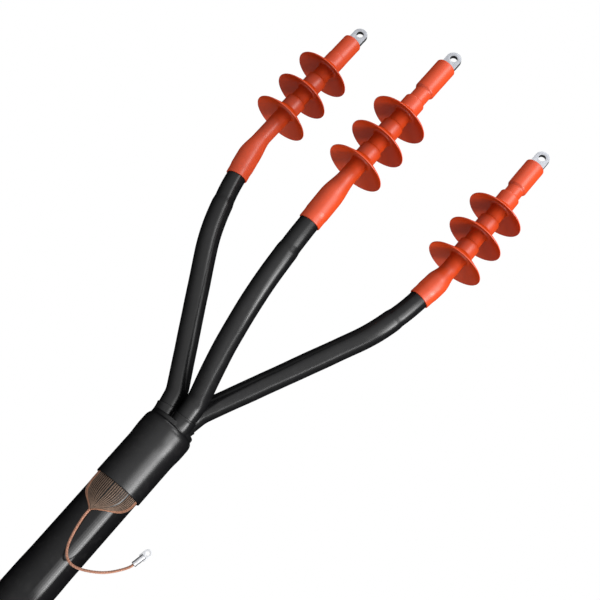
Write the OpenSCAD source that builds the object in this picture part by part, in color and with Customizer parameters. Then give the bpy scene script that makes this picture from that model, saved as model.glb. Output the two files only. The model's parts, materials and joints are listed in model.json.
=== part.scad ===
// Outdoor termination of a three-core cable: a breakout boot, three splayed cores with red
// skirted tubes and terminal lugs, and a copper earth lead.
// Millimetres. +Z runs up the cable. The origin is the centre of the cable's lower cut face.
// Lists of three hold one value for each core: left, middle and right, seen from -Y.

/* [Cable] */
// Outer diameter of the sheath
sheath_d = 66.4; // [66:0.2:80]
// Wall of the sheath
sheath_wall = 2.4; // [2:0.1:2.4]
// Thickness of the copper wire screen under the sheath
screen_wall = 0.6; // [0.4:0.1:0.6]
// Length of cable from its cut face to the rim of the boot
cable_len = 240; // [240:5:400]
// Length of untouched sheath above the cut face, where a cable clamp grips
clamp_len = 120; // [60:5:125]
// Depth to which the sheath above that is roughened for the seal
roughen_depth = 0.5; // [0.4:0.05:0.6]
// Turn of the three cores about the cable's axis
lay_turn = 24; // [0:1:45]

/* [Core layers] */
// Diameter of the conductor
conductor_d = 12.8; // [10:0.1:14]
// Wall of the insulation
insulation_wall = 4; // [3:0.1:5]
// Wall of the semi-conducting layer
semicon_wall = 0.8; // [0.5:0.1:1.2]
// Wall of the copper tape screen
copper_wall = 0.6; // [0.3:0.1:0.6]
// Wall of the black core tube
tube_wall = 3.4; // [3:0.1:4]
// How far the black tube necks down where the copper screen ends
tube_neck_drop = 1.1; // [0.6:0.1:1.4]

/* [Boot] */
// Length of the boot from its rim to the top of its crown
boot_len = 110; // [95:1:150]
// Wall of the boot
boot_wall = 1.6; // [1:0.1:3]
// How far the boot swells out over the crotch of the cores
boot_bulge = 1.4; // [0:0.1:4]
// Radius of the crown's top
crown_r = 31.5; // [29:0.5:34]
// Depth of solid rubber in the crown
crown_h = 18; // [14:0.5:24]
// Length of sheath inside the boot
sheath_in_boot = 56; // [40:1:70]
// Wall of the boot's fingers
finger_wall = 1.1; // [0.8:0.1:2]
// Length of each finger above the crown
finger_len = 14; // [10:0.5:22]
// Extra radius of the lip at a finger's end
finger_lip = 0.4; // [0.2:0.1:0.4]
// Height of that lip
finger_lip_h = 3; // [1.5:0.5:5]
// Rubber left between two neighbouring tubes in the crown
finger_web = 0.8; // [0.6:0.1:1]

/* [Splay] */
// Places of the upright core ends along X
core_x = [-174, -43, 141]; // [-200:1:200]
// Places of the upright core ends along Y
core_y = [-11, -130, -88]; // [-200:1:200]
// Height of the lug holes above the cut face
lug_height = 960; // [900:5:1300]
// Lean of the boot's fingers
finger_lean = 12; // [4:1:16]
// Lean of each core where the red tube begins
sleeve_lean = [12, 6, 9]; // [3:1:14]
// Bend radius inside the fingers
finger_bend_r = 50; // [40:1:80]
// Bend radius above the fingers
lower_bend_r = 45; // [40:1:80]
// Length of the straight run between the lower and the upper bend
long_run = [184, 20, 220]; // [10:2:230]
// Bend radius beside the stress cone
cone_bend_r = 85; // [60:1:120]

/* [Red tube] */
// Wall of the red tube
red_wall = 1.7; // [1:0.1:2.5]
// Length of the straight stretch where the red tube overlaps the black one
sleeve_run = [38, 52, 31]; // [30:1:70]
// Distance from the start of that stretch to the red tube's lower end
red_set_in = 5; // [2:0.5:5]
// Length of black tube under the red one
tube_under_red = 10; // [6:0.5:10]
// Length over which the black tube necks down where the copper screen ends
neck_run = 14; // [8:1:25]
// Turn of the core from that neck to the start of the red tube's straight stretch
neck_turn = [5, 4.5, 8]; // [3:0.5:10]
// Radius added over the stress tube by its wall
stress_swell = 0.6; // [0.2:0.1:1.5]
// Length of the stress cone
cone_run = 24; // [16:1:40]
// Plain red tube between the stress cone and the rim plane of the lowest skirt
bare_run = [35.5, 17.5, 7.5]; // [6:0.5:60]
// Radius of the red tube over the lug barrel, at its outside
barrel_cover_r = 14.6; // [13.6:0.1:16]
// Distance from the red tube's upper end to the lug hole
cover_to_hole = 18; // [16:0.5:20]

/* [Skirts] */
// Diameter of the skirts
skirt_d = 84; // [60:1:110]
// Distance between skirts
skirt_pitch = 47.5; // [42:0.5:70]
// Distance from the middle skirt's rim plane to the lug hole
skirt_below_lug = [138, 174, 164]; // [130:1:220]
// Rise of a skirt's underside from its rim to its hub
skirt_rise = 13; // [6:0.5:20]
// Thickness of a skirt at its rim
rim_t = 1.6; // [1.2:0.1:4]
// Thickness of a skirt at its hub
root_t = 3.6; // [2:0.1:6]
// Wall of a skirt's hub
hub_wall = 2.8; // [2:0.1:4]
// Height of the hub's top above the rim plane
hub_top = 38; // [26:0.5:40]

/* [Lugs] */
// Diameter of the lug barrel
barrel_d = 20.4; // [18:0.1:22]
// Length of the lug barrel
barrel_len = [26, 45, 40]; // [20:1:50]
// Bare conductor between the insulation's end and the lug
lug_gap = [4, 17, 12]; // [3:1:20]
// Distance from the end of the barrel to the lug hole
palm_root = 24; // [22:0.5:32]
// Width of the palm
palm_w = 21.4; // [16:0.1:22]
// Thickness of the palm
palm_t = 6; // [3:0.1:7]
// Diameter of the bolt hole
lug_hole_d = 10.5; // [6:0.1:13]
// Turn of the palms about the upright, from facing -Y
palm_turn = -16; // [-90:1:90]
// Distance of the palm's middle plane behind the barrel's axis
palm_back = 3; // [0:0.1:5]

/* [Earth lead] */
// Diameter of a screen wire
wire_d = 1.1; // [0.8:0.1:1.6]
// Number of screen wires in the fan
wire_count = 28; // [12:1:30]
// Distance from the boot's rim down to where the wires meet
gather_drop = 48; // [40:1:70]
// Length of wire tucked under the boot
wire_tuck = 12; // [6:1:15]
// Diameter of the twisted lead
lead_d = 3.6; // [3:0.1:4]
// Diameter of the earth lug's barrel
earth_barrel_d = 7.2; // [6:0.1:9]
// Width of the earth lug's tongue
tongue_w = 10.5; // [8:0.1:14]
// Thickness of that tongue
tongue_t = 1.6; // [1:0.1:3]
// Diameter of the earth lug's hole
earth_hole_d = 5.3; // [4:0.1:6.5]

/* [Hidden] */
$fn = 72;
CORES = [0, 1, 2];

BLACK = "#232326";
RED = "#d2421f";
COPPER = "#b87a52";
SILVER = "#b9bcc2";

// Stress control: mastic over the step at the end of the semi-conducting layer, under a tube
stress_mastic_wall = 1.4;
semicon_bare = 4;
mastic_land = 4;
mastic_slope = 6;
swell_run = 8;
stress_on_cone = 0.8;

// Radii of the layers, from the conductor outwards
sheath_r = sheath_d / 2;
seal_r = sheath_r - roughen_depth;
bedding_r = sheath_r - sheath_wall - screen_wall;
conductor_r = conductor_d / 2;
insulation_r = conductor_r + insulation_wall;
semicon_r = insulation_r + semicon_wall;
copper_r = semicon_r + copper_wall;
tube_r = copper_r + tube_wall;
tube_neck_r = tube_r - tube_neck_drop;
stress_r = tube_neck_r + stress_swell;
stress_mastic_r = semicon_r + stress_mastic_wall;
red_r = insulation_r + red_wall;
cover_in_r = barrel_cover_r - red_wall;
barrel_r = barrel_d / 2;
barrel_floor = 4;

// Red tube at the lug: the slope onto the barrel, the rounded end and the mastic set back in it
cover_slope = 4;
end_round = 1.2;
mastic_recess = 4;

// Layers clear each other a little. Straight stretches stand proud of the bends by the joint
// step on both sides, and the bends lap into them.
joint_step = 0.15;
bore_clear = 0.02;
hole_clear = joint_step + bore_clear;
layer_clear = 2 * joint_step + bore_clear;
joint_lap = 0.4;
joint_land = 1.5;
least_stretch = 0.001;

// How far a cut runs out of the solid that it opens
cut_over = 1;

// Heights on the cable
boot_top = cable_len + boot_len;
crown_z = boot_top - crown_h;
sheath_end = cable_len + sheath_in_boot;

// Boot: its inside clears the sheath by the screen wires
wire_clear = 0.1;
lip_slope = 1;
boot_in_r = seal_r + wire_d + wire_clear;
boot_r = boot_in_r + boot_wall;

// Heights of the boot's outside, from the crown down: a land, the shoulder, the full bulge, its swell
crown_land = 7;
shoulder_h = 9;
bulge_land = 10;
bulge_run = 24;
shoulder_end = boot_len - crown_land;
shoulder_start = shoulder_end - shoulder_h;
bulge_full = shoulder_start - bulge_land;
bulge_start = bulge_full - bulge_run;

// Sealing mastic starts above the ends of the tucked wires
wire_end_gap = 4;
mastic_start = cable_len + wire_tuck + wire_end_gap;

// Cores: three in a ring, close enough to leave the web between their tubes
core_ring_r = (2 * tube_r + finger_web) / sqrt(3);
core_turn = [150, 270, 30];
function core_start(i) = core_ring_r * [cos(core_turn[i] + lay_turn), sin(core_turn[i] + lay_turn)];
function core_end(i) = [core_x[i], core_y[i]];
function core_reach(i) = norm(core_end(i) - core_start(i));
function core_heading(i) =
    let (d = core_end(i) - core_start(i))
    atan2(d[1], d[0]);

// Each core runs in one upright plane, as straight stretches joined by arcs. A row of the bend
// list holds a stretch's length, the lean from the upright after its bend, and the bend radius.
bend_in_crown = 4;
bend_start = boot_top - bend_in_crown;
finger_run = 22;
function cone_lean(i) = sleeve_lean[i] / 2;
function neck_lean(i) = sleeve_lean[i] + neck_turn[i];
function cone_top_z(i) = lug_height - skirt_below_lug[i] - skirt_pitch - bare_run[i];
function turn_step(a, b, r) = r * [abs(cos(a) - cos(b)), abs(sin(b) - sin(a))];
function run_step(len, lean) = len * [sin(lean), cos(lean)];

// Travel outwards and upwards that is left for the upper bend, after a long run at a lean
function free_travel(i, lean) =
    [core_reach(i), cone_top_z(i) - bend_start]
    - turn_step(0, finger_lean, finger_bend_r)
    - run_step(finger_run, finger_lean)
    - turn_step(finger_lean, lean, lower_bend_r)
    - run_step(long_run[i], lean)
    - run_step(neck_run, neck_lean(i))
    - run_step(sleeve_run[i], sleeve_lean[i])
    - turn_step(sleeve_lean[i], cone_lean(i), cone_bend_r)
    - run_step(cone_run, cone_lean(i))
    - turn_step(cone_lean(i), 0, cone_bend_r);

// The upper bend that makes up the outward travel, and the height that it leaves over
function upper_bend_r(i, lean) = free_travel(i, lean)[0] / (cos(sleeve_lean[i]) - cos(lean));
function height_over(i, lean) =
    free_travel(i, lean)[1] - turn_step(lean, sleeve_lean[i], upper_bend_r(i, lean))[1];

// The long run leans so that no height is left over
steepest = 85;
lean_steps = 30;
function long_lean(i, low, high, steps) =
    let (mid = (low + high) / 2)
    steps == 0 ? mid :
    height_over(i, mid) < 0 ? long_lean(i, mid, high, steps - 1) :
    long_lean(i, low, mid, steps - 1);

function bends(i) =
    let (
        lean = long_lean(i, neck_lean(i), steepest, lean_steps),
        r = upper_bend_r(i, lean)
    )
    [
        [bend_start, finger_lean, finger_bend_r],
        [finger_run, lean, lower_bend_r],
        [long_run[i], neck_lean(i), r],
        [neck_run, sleeve_lean[i], r],
        [sleeve_run[i], cone_lean(i), cone_bend_r],
        [cone_run, 0, cone_bend_r],
        [lug_height - cone_top_z(i), 0, 0]
    ];

// Segments of a core: [distance along the core, length, [out, up], lean, turn, bend radius]
function segments(rows, k = 0, s = 0, p = [0, 0], lean = 0) =
    k == len(rows) ? [] :
    let (
        run = rows[k][0],
        next = rows[k][1],
        r = rows[k][2],
        q = p + run_step(run, lean),
        arc = r * abs(next - lean) * PI / 180
    )
    concat(
        [[s, run, p, lean, 0, 0], [s + run, arc, q, lean, next - lean, r]],
        segments(rows, k + 1, s + run + arc, q + turn_step(lean, next, r), next)
    );
CORE_SEGMENTS = [for (i = CORES) segments(bends(i))];
NECK = 6;
SLEEVE = 8;
CONE = 10;
CONE_BEND = 11;
TOP = 12;
function at(i, k) = CORE_SEGMENTS[i][k][0];

// Stations along a core, measured from the cut face
function hole_s(i) = at(i, TOP) + lug_height - cone_top_z(i);
function red_low_s(i) = at(i, SLEEVE) + red_set_in;
function red_high_s(i) = hole_s(i) - cover_to_hole;
function tube_end_s(i) = red_low_s(i) + tube_under_red;
function semicon_end_s(i) = tube_end_s(i) + semicon_bare;
function barrel_s(i) = hole_s(i) - palm_root - barrel_len[i];
function insulation_end_s(i) = barrel_s(i) - lug_gap[i];

// A table of [station, radius] cut to the stations a to b
function cut_table(t, a, b) =
    concat([[a, lookup(a, t)]], [for (p = t) if (p[0] > a && p[0] < b) p], [[b, lookup(b, t)]]);
function raise(t, by) = [for (p = t) [p[0], p[1] + by]];
function span_end(t) = t[len(t) - 1][0];

// Half a cosine from r0 to r1 over the stations a to b
function ease(a, b, r0, r1, steps = 8) =
    [for (k = [0:steps]) [a + (b - a) * k / steps, r0 + (r1 - r0) * (1 - cos(180 * k / steps)) / 2]];

module on_segment(i, seg) {
    p = core_start(i);
    translate([p[0], p[1], 0])
        rotate([0, 0, core_heading(i)])
            translate([seg[2][0], 0, seg[2][1]])
                rotate([0, seg[3], 0])
                    children();
}

module ring(r_out, r_in) {
    difference() {
        circle(r_out);
        if (r_in > 0)
            circle(r_in);
    }
}

// A straight stretch, turned from its profile
module straight_stretch(seg, outer, inner, a, b) {
    wall = raise(cut_table(outer, a, b), joint_step);
    hole = len(inner) > 0 ? raise(cut_table(inner, a, b), layer_clear - joint_step) : [[a, 0], [b, 0]];
    rotate_extrude()
        polygon(concat(
            [for (p = wall) [p[1], p[0] - seg[0]]],
            [for (k = [len(hole) - 1:-1:0]) [hole[k][1], hole[k][0] - seg[0]]]
        ));
}

// A bend, which keeps one section
module bent_stretch(seg, outer, inner, a, b) {
    r = seg[5];
    lap_low = a > outer[0][0] ? joint_lap : 0;
    lap_high = b < span_end(outer) ? joint_lap : 0;
    from = (a - lap_low - seg[0]) / r * 180 / PI;
    to = (b + lap_high - seg[0]) / r * 180 / PI;
    side = seg[4] > 0 ? 1 : -1;
    mid = (a + b) / 2;
    translate([side * r, 0, 0])
        rotate([90, 0, 0])
            rotate_extrude(angle = to - from, start = side > 0 ? 180 - to : from)
                translate([r, 0])
                    ring(lookup(mid, outer), len(inner) > 0 ? lookup(mid, inner) + layer_clear : 0);
}

// A layer of a core, with its outside and its inside as tables of [station, radius]
module layer(i, outer, inner = []) {
    for (seg = CORE_SEGMENTS[i]) {
        a = max(seg[0], outer[0][0]);
        b = min(seg[0] + seg[1], span_end(outer));
        if (b - a > least_stretch)
            on_segment(i, seg) {
                if (seg[4] == 0)
                    straight_stretch(seg, outer, inner, a, b);
                else
                    bent_stretch(seg, outer, inner, a, b);
            }
    }
}

function plain(a, b, r) = [[a, r], [b, r]];

// Cable

module cable_sheath() {
    wall_in_r = sheath_r - sheath_wall;
    color(BLACK)
        rotate_extrude()
            polygon([
                [wall_in_r, 0],
                [sheath_r, 0],
                [sheath_r, clamp_len],
                [seal_r, clamp_len],
                [seal_r, sheath_end],
                [wall_in_r, sheath_end]
            ]);
}

module wire_screen() {
    color(COPPER)
        linear_extrude(sheath_end)
            ring(sheath_r - sheath_wall, bedding_r);
}

module core_holes(r) {
    for (i = CORES)
        translate(core_start(i))
            circle(r);
}

module bedding() {
    color("#6d6a66")
        linear_extrude(sheath_end)
            difference() {
                circle(bedding_r);
                core_holes(copper_r + hole_clear);
            }
}

// Boot

// Outside of the boot above its rim as [radius, height], less a wall
function boot_side(wall) = concat(
    [[boot_r - wall, 0]],
    [for (p = ease(bulge_start, bulge_full, boot_r, boot_r + boot_bulge)) [p[1] - wall, p[0]]]
);
function shoulder() =
    let (r = boot_r + boot_bulge, drop = (r - crown_r) / 2)
    [for (a = [0:10:90]) [r - drop * (1 - cos(a)), shoulder_start + shoulder_h * sin(a)]];

module boot_body() {
    translate([0, 0, cable_len])
        rotate_extrude()
            polygon(concat(
                [[0, 0]],
                boot_side(0),
                shoulder(),
                [[crown_r, boot_len], [0, boot_len]]
            ));
}

module boot_cavity(low, high) {
    intersection() {
        translate([0, 0, cable_len])
            rotate_extrude()
                polygon(concat(
                    [[0, 0]],
                    boot_side(boot_wall),
                    [[boot_r + boot_bulge - boot_wall, boot_len], [0, boot_len]]
                ));
        translate([0, 0, low])
            cylinder(r = sheath_d, h = high - low);
    }
}

module finger(i) {
    r = tube_r + finger_wall;
    top = boot_top + finger_len;
    lip = top - finger_lip_h;
    layer(i, [[crown_z, r], [lip, r], [lip + lip_slope, r + finger_lip], [top, r + finger_lip]]);
}

module breakout_boot() {
    bore_low = crown_z - 2 * cut_over;
    bore_high = boot_top + finger_len + 5 * cut_over;
    color(BLACK)
        difference() {
            union() {
                boot_body();
                for (i = CORES)
                    finger(i);
            }
            translate([0, 0, -cut_over])
                boot_cavity(cable_len, crown_z + cut_over);
            for (i = CORES)
                layer(i, plain(bore_low, bore_high, tube_r + bore_clear));
        }
}

module boot_mastic() {
    color("#4a3b30")
        translate([0, 0, mastic_start])
            linear_extrude(sheath_end - mastic_start)
                ring(boot_in_r, seal_r);
}

module crotch_filler() {
    color("#4a3b30")
        difference() {
            boot_cavity(sheath_end, crown_z);
            translate([0, 0, sheath_end - cut_over])
                linear_extrude(crown_z - sheath_end + 2 * cut_over)
                    core_holes(copper_r + hole_clear);
        }
}

// Core layers

module conductor(i) {
    color(SILVER)
        layer(i, plain(0, hole_s(i) - palm_root - barrel_floor - layer_clear, conductor_r));
}

module insulation(i) {
    end = insulation_end_s(i);
    color("#e8e4d8")
        layer(i, plain(0, end, insulation_r), plain(0, end, conductor_r));
}

module semicon_layer(i) {
    end = semicon_end_s(i);
    color("#2b2b2d")
        layer(i, plain(0, end, semicon_r), plain(0, end, insulation_r));
}

module copper_screen(i) {
    end = at(i, NECK);
    color(COPPER)
        layer(i, plain(0, end, copper_r), plain(0, end, semicon_r));
}

module core_tube(i) {
    start = crown_z + layer_clear;
    neck = at(i, NECK);
    end = tube_end_s(i);
    low = neck + joint_land;
    high = neck + neck_run - joint_land;
    color(BLACK)
        layer(i,
            concat([[start, tube_r]], ease(low, high, tube_r, tube_neck_r), [[end, tube_neck_r]]),
            concat([[start, copper_r]], ease(low, high, copper_r, semicon_r), [[end, semicon_r]]));
}

// Inside of the red tube: over the black tube, the stress cone, the insulation and the lug barrel
function red_inside(i) = concat(
    [[red_low_s(i), tube_neck_r], [tube_end_s(i), tube_neck_r]],
    [[tube_end_s(i) + swell_run, stress_r]],
    ease(at(i, CONE) + joint_land, at(i, CONE_BEND) - joint_land, stress_r, insulation_r),
    [[insulation_end_s(i), insulation_r]],
    ease(barrel_s(i) - cover_slope / 2, barrel_s(i) + cover_slope / 2, insulation_r, cover_in_r),
    [[red_high_s(i), cover_in_r]]
);
function stress_inside(i) = [
    [tube_end_s(i), stress_mastic_r],
    [semicon_end_s(i) + mastic_land, stress_mastic_r],
    [semicon_end_s(i) + mastic_land + mastic_slope, insulation_r],
    [red_high_s(i), insulation_r]
];

module stress_mastic(i) {
    low = tube_end_s(i);
    step = semicon_end_s(i);
    high = step + mastic_land + mastic_slope - joint_land;
    color("#c9a63c")
        layer(i, cut_table(stress_inside(i), low, high),
            [[low, semicon_r], [step, semicon_r], [step, insulation_r], [high, insulation_r]]);
}

module stress_tube(i) {
    low = tube_end_s(i);
    high = at(i, CONE) + stress_on_cone * cone_run;
    color("#38383a")
        layer(i, cut_table(red_inside(i), low, high), stress_inside(i));
}

module red_tube(i) {
    inside = red_inside(i);
    end = red_high_s(i);
    outside = raise(inside, red_wall);
    rounded = concat(
        cut_table(outside, red_low_s(i), end - end_round),
        [for (a = [45, 90]) [end - end_round * (1 - sin(a)), barrel_cover_r - end_round * (1 - cos(a))]]
    );
    color(RED)
        layer(i, rounded, inside);
}

module lug_mastic(i) {
    low = insulation_end_s(i);
    step = barrel_s(i) - layer_clear;
    high = red_high_s(i) - mastic_recess;
    color("#a83a22")
        layer(i, cut_table(red_inside(i), low, high),
            [[low, conductor_r], [step, conductor_r], [step, barrel_r], [high, barrel_r]]);
}

// Skirts

skirt_curve = 1.25;
skirt_steps = 8;
hub_drop = 3;
hub_round = 1.4;
hub_r = red_r + hub_wall;

// Point of a skirt's underside and its thickness, at a share u of the way from hub to rim
function skirt_under(u) = [hub_r + (skirt_d / 2 - hub_r) * u, skirt_rise * (1 - pow(u, skirt_curve))];
function skirt_t(u) = rim_t + (root_t - rim_t) * pow(1 - u, 2);

module skirt(i, row) {
    bore = red_r + hole_clear;
    shares = [for (k = [0:skirt_steps]) k / skirt_steps];
    color(RED)
        translate([core_x[i], core_y[i], lug_height - skirt_below_lug[i] + (row - 1) * skirt_pitch])
            rotate_extrude()
                polygon(concat(
                    [[bore, skirt_rise - hub_drop]],
                    [for (u = shares) skirt_under(u)],
                    [for (u = shares) skirt_under(1 - u) + [0, skirt_t(1 - u)]],
                    [for (a = [0, 45, 90]) [hub_r, hub_top] - hub_round * [1 - cos(a), 1 - sin(a)]],
                    [[bore, hub_top]]
                ));
}

// Lugs

// The barrel is pressed flat from a little below its end to a little above, and the palm laps into it
flat_below = 6;
flat_above = 5;
palm_lap = 2;

module on_lug(i) {
    translate([core_x[i], core_y[i], lug_height])
        rotate([0, 0, palm_turn])
            children();
}

// Outline of a flat end with a round tip, from a height below the hole up
module tongue_outline(w, below) {
    circle(d = w);
    translate([-w / 2, -below])
        square([w, below]);
}

// Flat outline stood up in the XZ plane, centred on a depth
module upright_plate(t, depth) {
    translate([0, depth + t / 2, 0])
        rotate([90, 0, 0])
            linear_extrude(t)
                children();
}

module lug(i) {
    low = -palm_root - barrel_len[i];
    flat_start = -palm_root - flat_below;
    flat_end = -palm_root + flat_above;
    color(SILVER)
        on_lug(i)
            difference() {
                union() {
                    intersection() {
                        translate([0, 0, low])
                            cylinder(r = barrel_r, h = flat_end - low);
                        rotate([90, 0, 90])
                            translate([0, 0, -barrel_r])
                                linear_extrude(2 * barrel_r)
                                    polygon([
                                        [-barrel_r, low],
                                        [barrel_r, low],
                                        [barrel_r, flat_start],
                                        [palm_back + palm_t / 2, flat_end],
                                        [palm_back - palm_t / 2, flat_end],
                                        [-barrel_r, flat_start]
                                    ]);
                    }
                    upright_plate(palm_t, palm_back)
                        tongue_outline(palm_w, -flat_end + palm_lap);
                }
                upright_plate(3 * barrel_r, palm_back)
                    circle(d = lug_hole_d);
                translate([0, 0, low - cut_over])
                    cylinder(r = conductor_r + hole_clear, h = barrel_len[i] - barrel_floor + cut_over);
            }
}

// Earth fan: wires leave the boot's rim along the sheath and sweep round to one point

gather_angle = -103;
fan_left = -163;
fan_right = -21;
left_power = 2.2;
right_power = 1.45;
join_at = 0.56;
gather_at = 0.87;
wire_sides = 6;
sheath_clear = 0.08;
gather_gap = 0.02;
ridge_drop = 0.3;
function fan_share(k) = k / (wire_count - 1);
function fan_angle(k) = fan_left + (fan_right - fan_left) * fan_share(k);
function fan_power(k) = left_power + (right_power - left_power) * fan_share(k);
// Point of wire k at the sweep u, from 0 at the rim to 1 where all wires meet
function fan_point(k, u, lift) =
    let (
        a = fan_angle(k) + (gather_angle - fan_angle(k)) * u * u * (3 - 2 * u),
        r = seal_r + lift
    )
    [r * cos(a), r * sin(a), cable_len - gather_drop * pow(u, 1 / fan_power(k))];
function unit(v) = v / norm(v);

// Tube of triangles along a path, with one outward direction for each of its points
module swept_tube(path, outward, r, sides) {
    last = len(path) - 1;
    points = [for (k = [0:last])
        let (
            along = unit(path[min(k + 1, last)] - path[max(k - 1, 0)]),
            across = unit(cross(along, outward[k])),
            out = cross(across, along)
        )
        for (j = [0:sides - 1])
            path[k] + r * (cos(360 * j / sides) * out + sin(360 * j / sides) * across)];
    faces = concat(
        [[for (j = [0:sides - 1]) j]],
        [[for (j = [sides - 1:-1:0]) last * sides + j]],
        [for (k = [0:last - 1], j = [0:sides - 1])
            let (n = (j + 1) % sides)
            each [
                [k * sides + j, (k + 1) * sides + j, k * sides + n],
                [k * sides + n, (k + 1) * sides + j, (k + 1) * sides + n]
            ]]
    );
    polyhedron(points, faces);
}

module screen_wires() {
    lift = wire_d / 2 + sheath_clear;
    steps = 6;
    color(COPPER)
        for (k = [0:wire_count - 1]) {
            swept = [for (m = [0:steps])
                fan_point(k, join_at * m / steps, lift + wire_clear * m / steps)];
            path = concat([swept[0] + [0, 0, wire_tuck]], swept);
            swept_tube(path, [for (p = path) [p[0], p[1], 0]], wire_d / 2, wire_sides);
        }
}

// Strands bunched into the root of the lead: a ridged web that thickens as it narrows
module wire_gather() {
    rows = 6;
    columns = 2 * wire_count - 1;
    skin = [for (m = [0:rows])
        let (
            f = m / rows,
            u = join_at + gather_gap + (gather_at - join_at - gather_gap) * f,
            top = wire_d + (lead_d - wire_d) * f * f
        )
        for (c = [0:columns - 1])
            let (furrow = c % 2 == 0 ? 0 : ridge_drop * (1 - f))
            fan_point(c / 2, u, wire_clear + sheath_clear + top * (1 - furrow))];
    floor = [for (m = [0:rows])
        let (u = join_at + gather_gap + (gather_at - join_at - gather_gap) * m / rows)
        for (c = [0:columns - 1])
            fan_point(c / 2, u, sheath_clear)];
    n = len(skin);
    grid = [for (m = [0:rows - 1], c = [0:columns - 2]) [m * columns + c, m * columns + c + 1]];
    edge = concat(
        [for (c = [0:columns - 1]) c],
        [for (m = [1:rows]) m * columns + columns - 1],
        [for (c = [columns - 2:-1:0]) rows * columns + c],
        [for (m = [rows - 1:-1:1]) m * columns]
    );
    faces = concat(
        [for (g = grid) each [
            [g[0], g[1], g[0] + columns],
            [g[1], g[1] + columns, g[0] + columns]
        ]],
        [for (g = grid) each [
            [n + g[0], n + g[0] + columns, n + g[1]],
            [n + g[1], n + g[0] + columns, n + g[1] + columns]
        ]],
        [for (k = [0:len(edge) - 1])
            let (a = edge[k], b = edge[(k + 1) % len(edge)])
            each [
                [a, n + a, b],
                [b, n + a, n + b]
            ]]
    );
    color(COPPER)
        polyhedron(concat(skin, floor), faces);
}

// Route of the earth lead below the boot's rim: down the sheath, round a bend and up to its lug
lead_route = [
    [-7.9, -34.2, -46], [-7.9, -35, -52], [-7.5, -36.4, -58], [-6.5, -37.6, -65], [-5, -39.4, -73],
    [-3.2, -41.2, -81], [-1, -43, -89], [2, -44.6, -96.5], [6.5, -45.8, -103.5], [12.5, -46.6, -108.2],
    [19, -47, -110], [26, -47, -109.4], [33.5, -46.9, -106.8], [41, -46.6, -103], [48.5, -46.2, -98.4],
    [56, -45.8, -92.8], [63, -45.2, -86], [69, -44.7, -78.6], [74, -44.2, -71.4], [77, -44, -65.6],
    [78.6, -44, -59.4], [80, -44, -52.8]
];
lead_sides = 8;
lead_end = lead_route[len(lead_route) - 1];
lead_way = unit(lead_end - lead_route[len(lead_route) - 2]);

module earth_lead() {
    color(COPPER)
        translate([0, 0, cable_len])
            swept_tube(lead_route, [for (p = lead_route) [0, -1, 0]], lead_d / 2, lead_sides);
}

// Earth lug: a barrel crimped on the lead's end, with a solid floor from which the tongue grows
crimp_len = 6;
crimp_clear = 0.1;
floor_len = 4;
tongue_lap = 1;
tongue_hole_at = 13;

module earth_lug() {
    color(SILVER)
        translate(lead_end + [0, 0, cable_len])
            rotate([0, atan2(lead_way[0], lead_way[2]), 0])
                difference() {
                    union() {
                        translate([0, 0, -crimp_len])
                            cylinder(d = earth_barrel_d, h = crimp_len + floor_len);
                        translate([0, 0, tongue_hole_at])
                            upright_plate(tongue_t, 0)
                                tongue_outline(tongue_w, tongue_hole_at - floor_len + tongue_lap);
                    }
                    translate([0, 0, -2 * crimp_len])
                        cylinder(r = lead_d / 2 + crimp_clear, h = 2 * crimp_len);
                    translate([0, 0, tongue_hole_at])
                        upright_plate(3 * tongue_t, 0)
                            circle(d = earth_hole_d);
                }
}

cable_sheath();
wire_screen();
bedding();
breakout_boot();
boot_mastic();
crotch_filler();
for (i = CORES) {
    conductor(i);
    insulation(i);
    semicon_layer(i);
    copper_screen(i);
    core_tube(i);
    stress_mastic(i);
    stress_tube(i);
    red_tube(i);
    skirt(i, 0);
    skirt(i, 1);
    skirt(i, 2);
    lug_mastic(i);
    lug(i);
}
screen_wires();
wire_gather();
earth_lead();
earth_lug();
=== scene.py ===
"""Looks of a three-core outdoor cable termination.

It has a boot, splayed cores, red skirted tubes, lugs and an earth lead. Lengths are in millimetres
until a mesh is made, and angles are in degrees. Lists of three hold one value for each core.
"""

import json
import math

import bmesh
import bpy
import numpy as np
from mathutils import Matrix, Vector, noise

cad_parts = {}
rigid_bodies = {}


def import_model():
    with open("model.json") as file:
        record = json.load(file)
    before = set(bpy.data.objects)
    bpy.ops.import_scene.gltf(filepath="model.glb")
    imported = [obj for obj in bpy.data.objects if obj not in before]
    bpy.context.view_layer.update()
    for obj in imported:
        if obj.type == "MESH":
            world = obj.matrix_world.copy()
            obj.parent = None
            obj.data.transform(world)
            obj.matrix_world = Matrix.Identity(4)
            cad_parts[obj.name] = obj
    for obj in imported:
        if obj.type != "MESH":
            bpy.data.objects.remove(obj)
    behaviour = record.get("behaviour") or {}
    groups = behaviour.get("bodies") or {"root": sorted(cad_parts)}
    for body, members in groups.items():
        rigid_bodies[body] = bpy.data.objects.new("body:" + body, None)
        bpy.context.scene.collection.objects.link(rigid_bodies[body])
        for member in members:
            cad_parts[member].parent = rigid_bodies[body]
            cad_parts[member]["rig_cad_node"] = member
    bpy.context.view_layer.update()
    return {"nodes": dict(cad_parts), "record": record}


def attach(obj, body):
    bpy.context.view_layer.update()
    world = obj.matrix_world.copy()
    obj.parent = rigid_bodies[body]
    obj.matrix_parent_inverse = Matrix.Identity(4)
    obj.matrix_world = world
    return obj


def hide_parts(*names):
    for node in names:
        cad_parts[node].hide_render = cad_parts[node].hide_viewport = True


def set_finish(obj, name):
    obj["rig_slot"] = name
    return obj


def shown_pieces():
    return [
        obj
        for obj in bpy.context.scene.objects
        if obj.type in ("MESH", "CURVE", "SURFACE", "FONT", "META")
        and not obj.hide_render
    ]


MM = 0.001
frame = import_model()
NODES = frame["nodes"]


def add_object(name, data):
    made = bpy.data.objects.new(name, data)
    bpy.context.scene.collection.objects.link(made)
    return made


# Camera

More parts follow.
